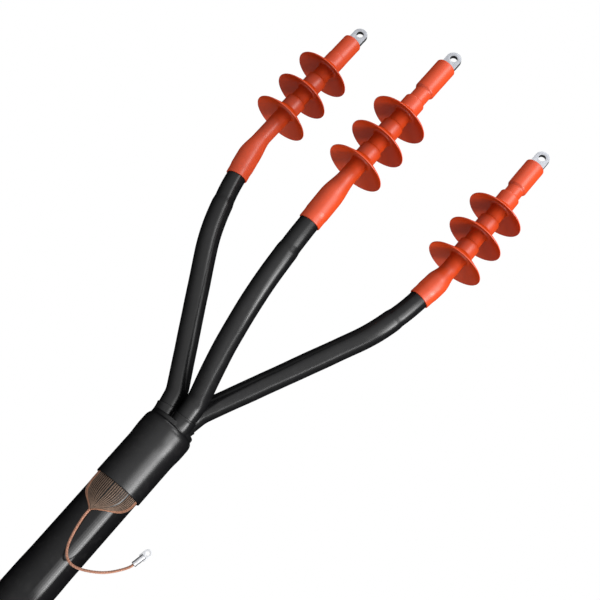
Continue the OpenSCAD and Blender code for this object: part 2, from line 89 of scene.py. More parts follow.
CAMERA_AT = (16.9, -1557.1, 84.8)
CAMERA_RIGHT = (0.7513, -0.2053, 0.6273)
CAMERA_UP = (-0.6600, -0.2337, 0.7140)
LENS = 71.19
SENSOR = 36.0


def place_camera():
    right = Vector(CAMERA_RIGHT).normalized()
    up = Vector(CAMERA_UP)
    up = (up - right * up.dot(right)).normalized()
    back = right.cross(up)
    data = bpy.data.cameras.new("photo_camera")
    data.lens = LENS
    data.sensor_width = SENSOR
    camera = add_object("photo_camera", data)
    turn = Matrix((right, up, back)).transposed().to_4x4()
    camera.matrix_world = Matrix.Translation(Vector(CAMERA_AT) * MM) @ turn
    bpy.context.scene.camera = camera


# Sizes of the solids that the pieces follow

clamp_r = 33.2
clamp_len = 120.0
sheath_r = 32.7
cable_len = 240.0
boot_len = 110.0
boot_top = cable_len + boot_len
boot_wall = 1.6
boot_bulge = 1.4
crown_r = 31.5
crown_h = 18.0
finger_wall = 1.1
finger_len = 14.0
finger_lip = 0.4
finger_web = 0.8
insulation_r = 10.4
tube_r = 15.2
tube_neck_r = 14.1
stress_r = 14.7
red_wall = 1.7
red_r = insulation_r + red_wall
barrel_cover_r = 14.6
cover_to_hole = 18.0
cover_lead = (5.5, 0.0, 0.0)
core_x = (-174.0, -43.0, 141.0)
core_y = (-11.0, -130.0, -88.0)
core_turn = (174.0, 294.0, 54.0)
lug_height = 960.0
finger_lean = 12.0
finger_run = 22.0
bend_start = boot_top - 4
sleeve_lean = (12.0, 6.0, 9.0)
finger_bend_r = 50.0
lower_bend_r = 45.0
long_run = (184.0, 20.0, 220.0)
cone_bend_r = 85.0
sleeve_run = (38.0, 52.0, 31.0)
red_set_in = 5.0
tube_under_red = 10.0
neck_run = 14.0
neck_turn = (5.0, 4.5, 8.0)
cone_run = 24.0
cone_soft = (7.0, 8.0, 0.5)
bare_run = (35.5, 17.5, 7.5)
skirt_r = 41.9
skirt_pitch = 47.5
skirt_below_lug = (138.0, 174.0, 164.0)
skirt_rise = 13.0
rim_t = 1.6
root_t = 3.6
hub_r = red_r + 2.8
hub_top = 38.0
hub_round = 2.4
palm_root = 24.0
barrel_len = (26.0, 45.0, 40.0)
wire_d = 1.1
wire_count = 28
gather_drop = 48.0
wire_tuck = 12.0
boot_rim_r = sheath_r + wire_d + 0.1
lead_d = 3.6
lead_route = (
    (-7.9, -34.2, -46), (-7.9, -35, -52), (-7.5, -36.4, -58), (-6.5, -37.6, -65), (-5, -39.4, -73),
    (-3.2, -41.2, -81), (-1, -43, -89), (2, -44.6, -96.5), (6.5, -45.8, -103.5), (12.5, -46.6, -108.2),
    (19, -47, -110), (26, -47, -109.4), (33.5, -46.9, -106.8), (41, -46.6, -103), (48.5, -46.2, -98.4),
    (56, -45.8, -92.8), (63, -45.2, -86), (69, -44.7, -78.6), (74, -44.2, -71.4), (77, -44, -65.6),
    (78.6, -44, -59.4), (80, -44, -52.8),
)


# Mesh helpers. A shape is a pair of points and faces.

SOFT_SHARP = 40.0
METAL_SHARP = 30.0


def shade_smooth(mesh, sharp=None):
    """Smooth shading, broken only at edges sharper than an angle."""
    mesh.polygons.foreach_set("use_smooth", [True] * len(mesh.polygons))
    if sharp:
        mesh.set_sharp_from_angle(angle=math.radians(sharp))


def seat(piece, slot, node):
    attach(piece, "root")
    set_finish(piece, slot)
    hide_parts(node)
    return piece


def make_piece(name, shape, slot, node):
    """A smooth mesh that rides on the part and stands for a node."""
    points, faces = shape
    mesh = bpy.data.meshes.new(name)
    mesh.from_pydata([tuple(np.asarray(p, float) * MM) for p in points], [], [list(f) for f in faces])
    mesh.validate()
    shade_smooth(mesh, SOFT_SHARP)
    return seat(add_object(name, mesh), slot, node)


def with_modifiers(piece):
    """The mesh that a piece's modifiers make of it."""
    depsgraph = bpy.context.evaluated_depsgraph_get()
    return bpy.data.meshes.new_from_object(piece.evaluated_get(depsgraph))


def joined(shapes):
    points, faces = [], []
    for more_points, more_faces in shapes:
        faces += [tuple(len(points) + v for v in f) for f in more_faces]
        points += more_points
    return points, faces


def ring_faces(rows, sides, closed):
    """Quads between rings of points: closed from the last ring to the first, or with capped ends."""
    faces = []
    for k in range(rows if closed else rows - 1):
        a, b = k * sides, (k + 1) % rows * sides
        faces += [(a + j, a + (j + 1) % sides, b + (j + 1) % sides, b + j) for j in range(sides)]
    if not closed:
        faces.append(tuple(reversed(range(sides))))
        faces.append(tuple((rows - 1) * sides + j for j in range(sides)))
    return faces


def circle(sides):
    angle = np.arange(sides) * 2 * math.pi / sides
    return np.cos(angle), np.sin(angle)


def lathe(profile, sides, centre, closed=True):
    """A profile of (radius, height) turned about the upright through a centre."""
    c, s = circle(sides)
    x, y, z = centre
    points = []
    for r, height in profile:
        points += list(np.column_stack([x + r * c, y + r * s, np.full(sides, z + height)]))
    return points, ring_faces(len(profile), sides, closed)


def sweep(spots, radii, sides):
    """A capped tube through spots of (place, outward, sideways)."""
    c, s = circle(sides)
    points = []
    for (place, out, side), r in zip(spots, radii):
        points += list(place + r * (np.outer(c, out) + np.outer(s, side)))
    return points, ring_faces(len(spots), sides, closed=False)


def frames(path, outward):
    """Spots along a free path, each with the outward direction squared to the path."""
    path = np.asarray(path, float)
    along = np.gradient(path, axis=0)
    along /= np.linalg.norm(along, axis=1)[:, None]
    spots = []
    for p, t, o in zip(path, along, outward):
        side = np.cross(t, o)
        side /= np.linalg.norm(side)
        spots.append((p, np.cross(side, t), side))
    return spots


def smooth_line(points, pitch):
    """A smooth curve through given points, with spots about a pitch apart."""
    p = np.asarray(points, float)
    p = np.vstack([2 * p[0] - p[1], p, 2 * p[-1] - p[-2]])
    line = []
    for k in range(1, len(p) - 2):
        a, b, c, d = p[k - 1:k + 3]
        count = max(2, int(np.linalg.norm(c - b) / pitch))
        for t in np.arange(count) / count:
            line.append(0.5 * (2 * b + (c - a) * t + (2 * a - 5 * b + 4 * c - d) * t ** 2
                               + (3 * b - a - 3 * c + d) * t ** 3))
    line.append(p[-2])
    return np.array(line)


def ease(s, a, b, r0, r1):
    """Half a cosine from r0 at a to r1 at b."""
    t = np.clip((np.asarray(s, float) - a) / (b - a), 0, 1)
    return r0 + (r1 - r0) * (1 - np.cos(math.pi * t)) / 2


NOISE_SEED = 5
noise.seed_set(NOISE_SEED)


def uneven(shape, lump, depth, seed):
    """Shrunk tubes aren't quite round: moves points by a slow noise with lumps of a size."""
    points, faces = shape
    moved = []
    for p in points:
        n = noise.noise_vector(Vector(p) / lump + Vector((seed, seed, seed)))
        moved.append(np.asarray(p) + depth * np.array(n))
    return moved, faces


# Routes of the cores: straight runs and arcs in one upright plane each

STEEPEST = 85.0
HALVINGS = 40
PAST_HOLE = 20.0


def cosd(a):
    return math.cos(math.radians(a))


def sind(a):
    return math.sin(math.radians(a))


def turn_step(a, b, r):
    """Travel outwards and upwards in an arc of a radius, from one lean to another."""
    return np.array([r * abs(cosd(a) - cosd(b)), r * abs(sind(b) - sind(a))])


def run_step(length, lean):
    return length * np.array([sind(lean), cosd(lean)])


class Core:
    """One core's route, with stations measured along it from the cut face."""

    def __init__(self, i):
        self.i = i
        ring = (2 * tube_r + finger_web) / math.sqrt(3)
        self.start = ring * np.array([cosd(core_turn[i]), sind(core_turn[i])])
        way = np.array([core_x[i], core_y[i]]) - self.start
        self.reach = np.linalg.norm(way)
        self.heading = np.array([*(way / self.reach), 0.0])
        self.sideways = np.cross((0, 0, 1), self.heading)
        self.mid_skirt = lug_height - skirt_below_lug[i]
        self.cone_top = self.mid_skirt - skirt_pitch - bare_run[i]
        self.rows = self.bend_rows()
        self.segments = self.lay_out()
        # Each row gives two segments, a run and the arc after it.
        at = [seg[0] for seg in self.segments]
        self.neck, self.sleeve, self.cone = at[6], at[8], at[10]
        self.cone_bend, self.top = at[11], at[12]
        self.hole = self.top + lug_height - self.cone_top
        self.red_low = self.sleeve + red_set_in
        self.red_high = self.hole - cover_to_hole
        self.tube_end = self.red_low + tube_under_red
        self.barrel = self.hole - palm_root - barrel_len[i]

    def free_travel(self, long_lean):
        """Travel outwards and upwards left for the upper bend, after a long run at a lean."""
        i, lean = self.i, sleeve_lean[self.i]
        free = np.array([self.reach, self.cone_top - bend_start])
        free -= turn_step(0, finger_lean, finger_bend_r) + run_step(finger_run, finger_lean)
        free -= turn_step(finger_lean, long_lean, lower_bend_r) + run_step(long_run[i], long_lean)
        free -= run_step(neck_run, lean + neck_turn[i]) + run_step(sleeve_run[i], lean)
        free -= turn_step(lean, lean / 2, cone_bend_r) + run_step(cone_run, lean / 2)
        return free - turn_step(lean / 2, 0, cone_bend_r)

    def upper_bend(self, long_lean):
        """Radius of the upper bend, and the height that it leaves over."""
        out, rise = self.free_travel(long_lean)
        lean = sleeve_lean[self.i]
        r = out / (cosd(lean) - cosd(long_lean))
        return r, rise - r * (sind(long_lean) - sind(lean))

    def bend_rows(self):
        """Rows of (run, lean after it, radius of the arc between). The long run's lean is solved."""
        i, lean = self.i, sleeve_lean[self.i]
        low, high = lean + neck_turn[i], STEEPEST
        for _ in range(HALVINGS):
            mid = (low + high) / 2
            low, high = (mid, high) if self.upper_bend(mid)[1] < 0 else (low, mid)
        r = self.upper_bend(low)[0]
        return [
            (bend_start, finger_lean, finger_bend_r),
            (finger_run, low, lower_bend_r),
            (long_run[i], lean + neck_turn[i], r),
            (neck_run, lean, r),
            (sleeve_run[i], lean / 2, cone_bend_r),
            (cone_run, 0.0, cone_bend_r),
            (lug_height - self.cone_top + PAST_HOLE, 0.0, 1.0),
        ]

    def lay_out(self):
        """Segments of (station, length, place, lean, turn, radius)."""
        segments, s, p, lean = [], 0.0, np.zeros(2), 0.0
        for run, after, r in self.rows:
            segments.append((s, run, p, lean, 0.0, 0.0))
            s, p = s + run, p + run_step(run, lean)
            arc = r * math.radians(abs(after - lean))
            segments.append((s, arc, p, lean, after - lean, r))
            s, p, lean = s + arc, p + turn_step(lean, after, r), after
        return segments

    def spot(self, s):
        """Place on the core's axis with its outward and sideways directions."""
        seg = [g for g in self.segments if g[0] <= s + 1e-9 and g[1] > 0][-1]
        start, _, p, lean, turn, r = seg
        if r:
            now = lean + math.copysign(math.degrees((s - start) / r), turn)
            p = p + turn_step(lean, now, r)
        else:
            now = lean
            p = p + run_step(s - start, lean)
        place = np.array([*self.start, 0.0]) + p[0] * self.heading + np.array([0, 0, p[1]])
        out = cosd(now) * self.heading - np.array([0, 0, sind(now)])
        return place, out, self.sideways

    def spots(self, stations):
        return [self.spot(s) for s in stations]

    def tube(self, rows, sides):
        """A capped tube on the axis, from rows of (station, radius)."""
        return sweep(self.spots([s for s, _ in rows]), [r for _, r in rows], sides)


ROUTES = [Core(i) for i in range(len(core_x))]


# Earth lead and the fan of screen wires it grows from

gather_angle = -103.0
fan_left, fan_right = -163.0, -21.0
left_power, right_power = 2.2, 1.45
root_at = 0.9
fan_seed = 7
fan_gaps = ((11.5, 0.16), (19.5, 0.24))
strand_sides = 8


def earth_lead(lug):
    strands, turn_pitch, spacing = 7, 24.0, 1.1
    strand_r = lead_d * 0.19
    lay_r = lead_d / 2 - strand_r
    line = smooth_line([np.array(p) + (0, 0, cable_len) for p in lead_route], spacing)
    spots = frames(line, [np.array((0.0, -1.0, 0.0))] * len(line))
    length = np.concatenate([[0], np.cumsum(np.linalg.norm(np.diff(line, axis=0), axis=1))])
    shapes = []
    for k in range(strands):
        turn = 2 * math.pi * (length / turn_pitch + k / strands)
        out = [math.cos(t) * o + math.sin(t) * s for (_, o, s), t in zip(spots, turn)]
        path = [p + lay_r * o for (p, _, _), o in zip(spots, out)]
        shapes.append(sweep(frames(path, out), [strand_r] * len(path), strand_sides))
    piece = make_piece("twisted_earth_lead", joined(shapes), "screen_copper", "earth_lead")
    return piece


def fan_point(k, u, lift):
    """Where wire k lies over the sheath, at a share u of the way from the boot to the root."""
    share = k / (wire_count - 1)
    angle = fan_left + (fan_right - fan_left) * share
    power = left_power + (right_power - left_power) * share
    angle += (gather_angle - angle) * u * u * (3 - 2 * u)
    r = sheath_r + lift
    return np.array([r * cosd(angle), r * sind(angle), cable_len - gather_drop * u ** (1 / power)])


def fan_path(k, steps, end, stack, sway):
    """One strand of the fan, from under the boot to the root, where the strands lie on each other."""
    bunch_from, bunch_over, sway_over = 0.5, 0.4, 0.8
    path = [fan_point(k, 0.0, wire_d / 2 + 0.08) + (0, 0, wire_tuck)]
    for u in np.linspace(0, end, steps):
        bunch = np.clip((u - bunch_from) / bunch_over, 0, 1) ** 2
        lift = wire_d / 2 + 0.1 + bunch * stack * (lead_d - wire_d)
        path.append(fan_point(k + sway * math.sin(math.pi * min(1, u / sway_over)), u, lift))
    return np.array(path)


def fan_strand(path, r):
    """A round strand along a path on the sheath."""
    outward = [np.array([p[0], p[1], 0.0]) for p in path]
    return sweep(frames(path, outward), [r] * len(path), strand_sides)


def parted(k):
    """Wires draw together beside the fan's wider gaps: place of wire k, counted in wires."""
    fade = 1.6
    for gap, room in fan_gaps:
        aside = abs(k - gap) - 0.5
        k += math.copysign(room * math.exp(-aside / fade), k - gap)
    return k


def fan_wires():
    """Each place in the fan holds two wires side by side, which close up towards the root."""
    border, steps, apart, wire_r = 2, 44, 0.13, wire_d * 0.38
    wander = np.random.default_rng(fan_seed)
    strands = []
    for k in range(border, wire_count - border):
        end = root_at + 0.06 * wander.random()
        stack = wander.random()
        sway = wander.normal(0, 0.05)
        for side in (-1, 1):
            strands.append(fan_strand(fan_path(parted(k) + side * apart, steps, end, stack, sway), wire_r))
    return make_piece("fan_wires", joined(strands), "screen_copper", "screen_wires")


def fan_border():
    """The outermost wires, bunched into a band along each border of the fan."""
    bunch, spacing, steps, past_root = 6, 0.36, 60, 0.08
    wave, wave_shift, wave_start = 0.25, 2.2, 8
    strands = []
    for k, inward in ((0.0, spacing), (wire_count - 1.0, -spacing)):
        for strand in range(bunch):
            path = fan_path(k + inward * strand, steps, root_at + past_root, 0.25 + 0.15 * strand, 0.0)
            turn = np.linspace(0, 4 * math.pi, len(path)) + strand * wave_shift
            ease_in = np.clip(np.arange(len(path)) / wave_start, 0, 1)
            path[:, 2] += wave * np.sin(turn) * ease_in
            path[:, :2] *= (1 + (0.3 + wave * np.cos(turn) * ease_in) / sheath_r)[:, None]
            strands.append(fan_strand(path, wire_d / 2))
    return make_piece("fan_border", joined(strands), "screen_copper", "wire_gather")


# Sheath

def sheath():
    """The jacket, drawn in a little where it was roughened for the boot's seal."""
    wall, draw_in, end, sides = 2.4, 30.0, cable_len + 56.0, 160
    z = np.linspace(clamp_len - draw_in, clamp_len, 9)
    outside = [(clamp_r - 0.3, 0.0), (clamp_r - 0.08, 0.1), (clamp_r, 0.4)]
    outside += list(zip(ease(z, z[0], z[-1], clamp_r, sheath_r), z)) + [(sheath_r, end)]
    inside = [(clamp_r - wall, end), (clamp_r - wall, 0.0)]
    return make_piece("jacket", lathe(outside + inside, sides, (0, 0, 0)), "sheath_black", "cable_sheath")


# Boot

boot_sides = 128
finger_sides = 64
skin_voxel = 0.66
skin_relax = 8


def boot_profile():
    """Outside of the boot's body as (radius, height above its rim)."""
    bulge_low, bulge_high, shoulder_low = 60.0, 84.0, 93.0
    side_r = boot_rim_r + boot_wall
    full_r = side_r + boot_bulge - 0.1
    z = np.linspace(bulge_low, bulge_high, 13)
    side = [(side_r - 0.3, 0.0), (side_r, 0.5)]
    side += list(zip(ease(z, bulge_low, bulge_high, side_r, full_r), z))
    collar_r, collar_low, collar_high = crown_r + 1.1, boot_len - 6.5, boot_len - 1.2
    a = np.linspace(0, math.pi / 2, 9)
    shoulder = list(zip(collar_r + (full_r - collar_r) * np.cos(a),
                        shoulder_low + (collar_low - shoulder_low) * np.sin(a)))
    collar = [(collar_r, collar_low), (collar_r - 0.2, collar_high), (collar_r - 1.2, boot_len)]
    return side + shoulder[:-1] + collar


def boot_body():
    """Skin, open rim and crown of the boot as one closed solid."""
    recess, axis_r = 7.0, 0.01
    inside = [(axis_r, recess), (boot_rim_r, recess), (boot_rim_r, 0.0)]
    profile = inside + boot_profile() + [(axis_r, boot_len)]
    return lathe(profile, boot_sides, (0, 0, cable_len), closed=False)


def finger(core):
    r, top = tube_r + finger_wall, boot_top + finger_len
    lip_from, lip_r, edge = top - 3, r + finger_lip, 0.4
    rows = [(s, r) for s in np.arange(boot_top - crown_h, lip_from, 1.5)] + [(lip_from, r)]
    rows += [(top - 2.2, lip_r), (top - edge, lip_r), (top, lip_r - edge)]
    return core.tube(rows, finger_sides)


def breakout_boot():
    """The body and fingers melted into one skin, as moulded and shrunk."""
    points, faces = joined([boot_body()] + [finger(core) for core in ROUTES])
    raw = bpy.data.meshes.new("boot_solids")
    raw.from_pydata([tuple(np.asarray(p) * MM) for p in points], [], faces)
    solid = add_object("boot_solids", raw)
    remesh = solid.modifiers.new("melt", "REMESH")
    remesh.mode = "VOXEL"
    remesh.voxel_size = skin_voxel * MM
    relax = solid.modifiers.new("relax", "SMOOTH")
    relax.factor = 0.5
    relax.iterations = skin_relax
    mesh = with_modifiers(solid)
    bpy.data.objects.remove(solid)
    shade_smooth(mesh)
    mesh.name = "boot_skin"
    return seat(add_object("boot_skin", mesh), "boot_black", "breakout_boot")


# Core tubes and red tubes

core_sides = 56
red_sides = 64

# Rolled end of a red tube: back from the end, and in from the outside
red_end = ((0.9, 0.15), (0.3, 0.5), (0.0, 1.0), (0.1, 1.5), (0.8, red_wall), (4.0, red_wall))


def core_tube(core):
    pitch, neck_soft = 1.6, 1.5
    stations = np.arange(boot_top - crown_h + 0.5, core.tube_end, pitch)
    low, high = core.neck + neck_soft, core.neck + neck_run - neck_soft
    rows = list(zip(stations, ease(stations, low, high, tube_r, tube_neck_r)))
    shape = uneven(core.tube(rows, core_sides), lump=34, depth=0.28, seed=core.i)
    return make_piece(f"black_tube_{core.i + 1}", shape, "tube_black", f"core_tube_{core.i + 1}")


def red_radius(core, s):
    """Outside of the red tube at the stations s, without its ends."""
    step_run, cover_soft = 8.0, 2.0
    r = ease(s, core.tube_end, core.tube_end + step_run, tube_neck_r, stress_r)
    low, high = core.cone - cone_soft[core.i], core.cone_bend + cone_soft[core.i]
    r = np.where(s > low, ease(s, low, high, stress_r, insulation_r), r)
    cover, start = barrel_cover_r - red_wall, core.barrel - cover_lead[core.i]
    r = np.where(s > high, ease(s, start - cover_soft, start + cover_soft, insulation_r, cover), r)
    return r + red_wall


def red_tube(core):
    pitch, first, last = 0.9, core.red_low + 0.6, core.red_high - 1.6
    low, high = core.red_low, core.red_high
    body = np.concatenate([np.arange(first, last, pitch), [last]])
    outside = red_radius(core, body)
    mouth_r, low_r = tube_neck_r - 1.2, outside[0]
    rows = [(low + 2, mouth_r), (low, mouth_r), (low, low_r - 0.5), (low + 0.2, low_r - 0.15)]
    rows += list(zip(body, outside))
    rows += [(high - back, barrel_cover_r - inward) for back, inward in red_end]
    shape = uneven(core.tube(rows, red_sides), lump=30, depth=0.22, seed=core.i + 4)
    return make_piece(f"red_sleeve_{core.i + 1}", shape, "red_polymer", f"red_tube_{core.i + 1}")


# Skirts

skirt_sides = 120
skirt_steps = 22
skirt_droop = 1.25


def skirt_profile():
    """A skirt and its hub as a closed profile of (radius, height above the rim)."""
    bore, low = red_r - 0.2, skirt_rise - 4
    u = np.linspace(0, 1, skirt_steps)
    reach = skirt_r - hub_r
    under = np.column_stack([hub_r + reach * u, skirt_rise * (1 - u ** skirt_droop)])
    thick = rim_t + (root_t - rim_t) * (1 - u) ** 2
    over = under + np.column_stack([np.zeros(skirt_steps), thick])
    top = over[0][1]
    root = [(red_r + 0.15, low + 1.2), (red_r + 0.6, low + 2.6), (red_r + 1.7, low + 3.5)]
    rim = [(skirt_r - 0.35, 0.05), (skirt_r - 0.05, 0.5)]
    rim += [(skirt_r - 0.05, rim_t - 0.5), (skirt_r - 0.4, rim_t - 0.05)]
    fillet = [(hub_r + 1.9, over[1][1] + 0.05), (hub_r + 0.8, top + 0.4), (hub_r + 0.2, top + 1.3)]
    hub = [(hub_r, z) for z in np.linspace(top + 2.4, hub_top - hub_round, 8)]
    a = np.linspace(0, math.pi / 2, 7)[1:]
    end = list(zip(hub_r - hub_round * (1 - np.cos(a)), hub_top - hub_round * (1 - np.sin(a))))
    below = [(bore, low)] + root + [tuple(p) for p in under[1:-1]] + rim
    above = [tuple(p) for p in over[-2:1:-1]] + fillet + hub + end
    return below + above + [(bore, hub_top)]


def skirts(core):
    number = core.i + 1
    for row, place in enumerate(("lower", "middle", "upper")):
        centre = (core_x[core.i], core_y[core.i], core.mid_skirt + (row - 1) * skirt_pitch)
        turned = lathe(skirt_profile(), skirt_sides, centre)
        shape = uneven(turned, lump=40, depth=0.06, seed=9 + 3 * core.i + row)
        make_piece(f"{place}_shed_{number}", shape, "red_polymer", f"{place}_skirt_{number}")


# Lugs: the solids with their edges broken

def broken_edges(node, name, slot, width):
    same, flat, bevel_over = 1e-6, 1.0, 28.0
    work = bmesh.new()
    work.from_mesh(NODES[node].data)
    bmesh.ops.remove_doubles(work, verts=work.verts, dist=same)
    bmesh.ops.dissolve_limit(work, angle_limit=math.radians(flat), verts=work.verts, edges=work.edges)
    mesh = bpy.data.meshes.new(name)
    work.to_mesh(mesh)
    work.free()
    shade_smooth(mesh)
    piece = add_object(name, mesh)
    bevel = piece.modifiers.new("broken_edges", "BEVEL")
    bevel.width = width * MM
    bevel.segments = 3
    bevel.limit_method = "ANGLE"
    bevel.angle_limit = math.radians(bevel_over)
    done = with_modifiers(piece)
    piece.modifiers.clear()
    piece.data = done
    shade_smooth(done, METAL_SHARP)
    return seat(piece, slot, node)


def crimp_sleeve(lug):
    """The lug's barrel as pressed: a rolled sleeve with two shallow crimps, added to the lug's mesh."""
    low, high, r, mouth_r, sides = -9.2, 7.3, 3.72, 2.4, 40
    crimps, crimp_depth, crimp_run = (-5.0, 2.2), 0.28, 1.1
    end, before = np.array(lead_route[-1]), np.array(lead_route[-2])
    way = (end - before) / np.linalg.norm(end - before)
    across = np.cross(way, (0, 1, 0))
    body = np.linspace(low + 1.0, high - 0.9, 27)
    pressed = sum(crimp_depth * np.exp(-((body - at) / crimp_run) ** 2) for at in crimps)
    rows = [(low, mouth_r), (low, r - 0.22), (low + 0.4, r - 0.02)] + list(zip(body, r - pressed))
    rows += [(high - 0.3, r - 0.12), (high, r - 0.52), (high, 0.5)]
    spots = [(end + (0, 0, cable_len) + s * way, np.array((0.0, 1.0, 0.0)), across) for s, _ in rows]
    points, faces = sweep(spots, [row_r for _, row_r in rows], sides)
    work = bmesh.new()
    work.from_mesh(lug.data)
    made = [work.verts.new(tuple(p * MM)) for p in points]
    for f in faces:
        work.faces.new([made[v] for v in f])
    work.to_mesh(lug.data)
    work.free()
    shade_smooth(lug.data, METAL_SHARP)
    return lug


# Finishes

def shade(*rgb):
    """Linear colour from 0 to 255 display values."""
    light = [c / 255 / 12.92 if c < 11 else ((c / 255 + 0.055) / 1.055) ** 2.4 for c in rgb]
    return (*light, 1.0)


class Wire:
    """An output of a shader node. Arithmetic on it adds Math nodes."""

    def __init__(self, nodes, socket):
        self.nodes = nodes
        self.socket = socket

    def _math(self, operation, a, b):
        return self.nodes.node("ShaderNodeMath", {"operation": operation}, {0: a, 1: b})

    def __add__(self, other):
        return self._math("ADD", self, other)

    def __radd__(self, other):
        return self._math("ADD", other, self)

    def __sub__(self, other):
        return self._math("SUBTRACT", self, other)

    def __rsub__(self, other):
        return self._math("SUBTRACT", other, self)

    def __mul__(self, other):
        return self._math("MULTIPLY", self, other)

    def __rmul__(self, other):
        return self._math("MULTIPLY", other, self)

    def __pow__(self, other):
        return self._math("POWER", self, other)

    def __rpow__(self, other):
        return self._math("POWER", other, self)


class Nodes:
    """The emptied node tree of a material or world."""

    def __init__(self, owner):
        owner.use_nodes = True
        self.tree = owner.node_tree
        self.tree.nodes.clear()

    def node(self, kind, settings=None, sockets=None, output=0):
        """Adds a node with its settings and sockets, and gives one of its outputs if it has any."""
        made = self.tree.nodes.new(kind)
        for key, value in (settings or {}).items():
            if key == "stops":
                self.set_stops(made.color_ramp, value)
            else:
                setattr(made, key, value)
        for key, value in (sockets or {}).items():
            self.feed(made.inputs[key], value)
        return Wire(self, made.outputs[output]) if made.outputs else None

    def set_stops(self, ramp, stops):
        for element, (place, value) in zip(ramp.elements, stops):
            element.position = place
            element.color = (value, value, value, 1)

    def feed(self, socket, value):
        if isinstance(value, Wire):
            self.tree.links.new(value.socket, socket)
        else:
            socket.default_value = value


class Finish(Nodes):
    """A material with one Principled shader."""

    def __init__(self, name, **constants):
        self.material = bpy.data.materials.new(name)
        super().__init__(self.material)
        shader = self.node("ShaderNodeBsdfPrincipled")
        self.shader = shader.socket.node
        self.node("ShaderNodeOutputMaterial", sockets={"Surface": shader})
        self.surface(**constants)

    def surface(self, **values):
        """Sets or links sockets of the shader, with an underscore for each space in a name."""
        for key, value in values.items():
            self.feed(self.shader.inputs[key.replace("_", " ")], value)
        return self.material

    def place(self, stretch=(1, 1, 1)):
        """Object coordinates in millimetres, stretched along the axes."""
        spot = self.node("ShaderNodeTexCoord", output="Object")
        scale = tuple(1000 * v for v in stretch)
        return self.node("ShaderNodeVectorMath", {"operation": "MULTIPLY"}, {0: spot, 1: scale})

    def cloud(self, size, detail, stretch=(1, 1, 1)):
        """Noise from 0 to 1 with lumps of about a size in millimetres."""
        return self.node("ShaderNodeTexNoise", {"noise_dimensions": "3D"},
                         {"Vector": self.place(stretch), "Scale": 1.0 / size, "Detail": detail})

    def facing(self):
        """1 where the surface faces the viewer, 0 at its edge. For gloss only."""
        return 1.0 - self.node("ShaderNodeLayerWeight", sockets={"Blend": 0.5}, output="Facing")

    def across(self, axis):
        """1 on a face that looks along an axis or against it, 0 on one that is square to it."""
        normal = self.node("ShaderNodeTexCoord", output="Normal")
        sockets = {0: normal, 1: axis}
        along = self.node("ShaderNodeVectorMath", {"operation": "DOT_PRODUCT"}, sockets, output="Value")
        return self.node("ShaderNodeMath", {"operation": "ABSOLUTE"}, {0: along})

    def ramp(self, wire, low, high):
        """From 0 up to a low value to 1 from a high one."""
        return self.node("ShaderNodeValToRGB", {"stops": ((low, 0.0), (high, 1.0))}, {0: wire})

    def mix(self, factor, a, b):
        """Two colours mixed. The node has sockets for numbers and vectors before those for colours."""
        return self.node("ShaderNodeMix", {"data_type": "RGBA"}, {0: factor, 6: a, 7: b}, output=2)

    def bump(self, height, depth):
        """Normal from a height of 0 to 1 that stands for a depth in millimetres."""
        sockets = {"Strength": 1.0, "Distance": depth * MM, "Height": height}
        return self.node("ShaderNodeBump", sockets=sockets)


def scaled(tone, by, plus=0):
    return shade(*(t * by + plus for t in tone))


def satin(f, rough, fade, ior):
    """Weight of a coat that stands in for the shader's own gloss, as on fine-grained rubber.

    It fades where the surface turns away.
    """
    f.surface(Specular_IOR_Level=0.0, Coat_IOR=ior, Coat_Roughness=rough)
    return f.facing() ** fade


def black_polymer(name, tone, rough, grain, gloss):
    f = Finish(name)
    slow = f.cloud(38, 4)
    fine = f.cloud(1.3, 3)
    dust = f.ramp(f.cloud(9, 6), 0.52, 0.78)
    colour = f.mix(slow, shade(*tone), scaled(tone, 1.25, plus=2))
    colour = f.mix(dust * 0.1, colour, shade(60, 59, 58))
    return f.surface(
        Base_Color=colour,
        Coat_Weight=satin(f, rough, fade=5.0, ior=1.5) * (gloss + 0.16 * slow),
        Normal=f.bump(0.75 * fine + 0.25 * slow, grain))


def red_polymer(name):
    f = Finish(name)
    slow = f.cloud(30, 4)
    fine = f.cloud(1.0, 3)
    soil = f.ramp(f.cloud(14, 5), 0.5, 0.8)
    colour = f.mix(slow, shade(167, 53, 18), shade(179, 59, 22))
    colour = f.mix(soil * 0.18, colour, shade(150, 45, 22))
    return f.surface(
        Base_Color=colour,
        Coat_Weight=satin(f, rough=0.36, fade=2.5, ior=1.6) * (0.84 + 0.2 * slow),
        Normal=f.bump(0.7 * fine + 0.3 * slow, 0.008))


def copper_strand(name, dark, light, rough):
    f = Finish(name, Metallic=0.8)
    slow = f.cloud(9, 3)
    tarnish = f.ramp(f.cloud(5, 3), 0.48, 0.75)
    colour = f.mix(slow, shade(*dark), shade(*light))
    colour = f.mix(tarnish * 0.3, colour, scaled(dark, 0.7))
    return f.surface(Base_Color=colour, Roughness=rough + 0.1 * (slow - 0.5))


def tinned_metal(name, tone, axis, shade_up_to, light_from):
    """Rolled metal with painted light and shade: faces across an axis are painted lit, and its sheared
    edges are painted in shade.
    """
    f = Finish(name, Specular_IOR_Level=0.1)
    drawn = f.cloud(0.8, 3, (1, 1, 0.08))
    slow = f.cloud(8, 4)
    marks = f.ramp(f.cloud(2.4, 4, (1, 1, 0.3)), 0.56, 0.72)
    # Painted light and shade: the ramp is 1 on faces across the axis, which are painted lit and made more
    # metallic, and 0 on edge faces square to it, which are painted in shade.
    painted_face_light = f.ramp(f.across(axis), shade_up_to, light_from)
    colour = f.mix(slow, shade(*tone), scaled(tone, 0.94))
    colour = f.mix(marks * 0.08, colour, scaled(tone, 0.7))
    # Painted shade: edge faces darken to 0.16 of the tone.
    colour = f.mix(painted_face_light, scaled(tone, 0.16), colour)
    return f.surface(
        Base_Color=colour,
        Metallic=0.05 + 0.5 * painted_face_light,
        Roughness=0.5 + 0.06 * drawn,
        Normal=f.bump(f.cloud(6, 1), 0.02))


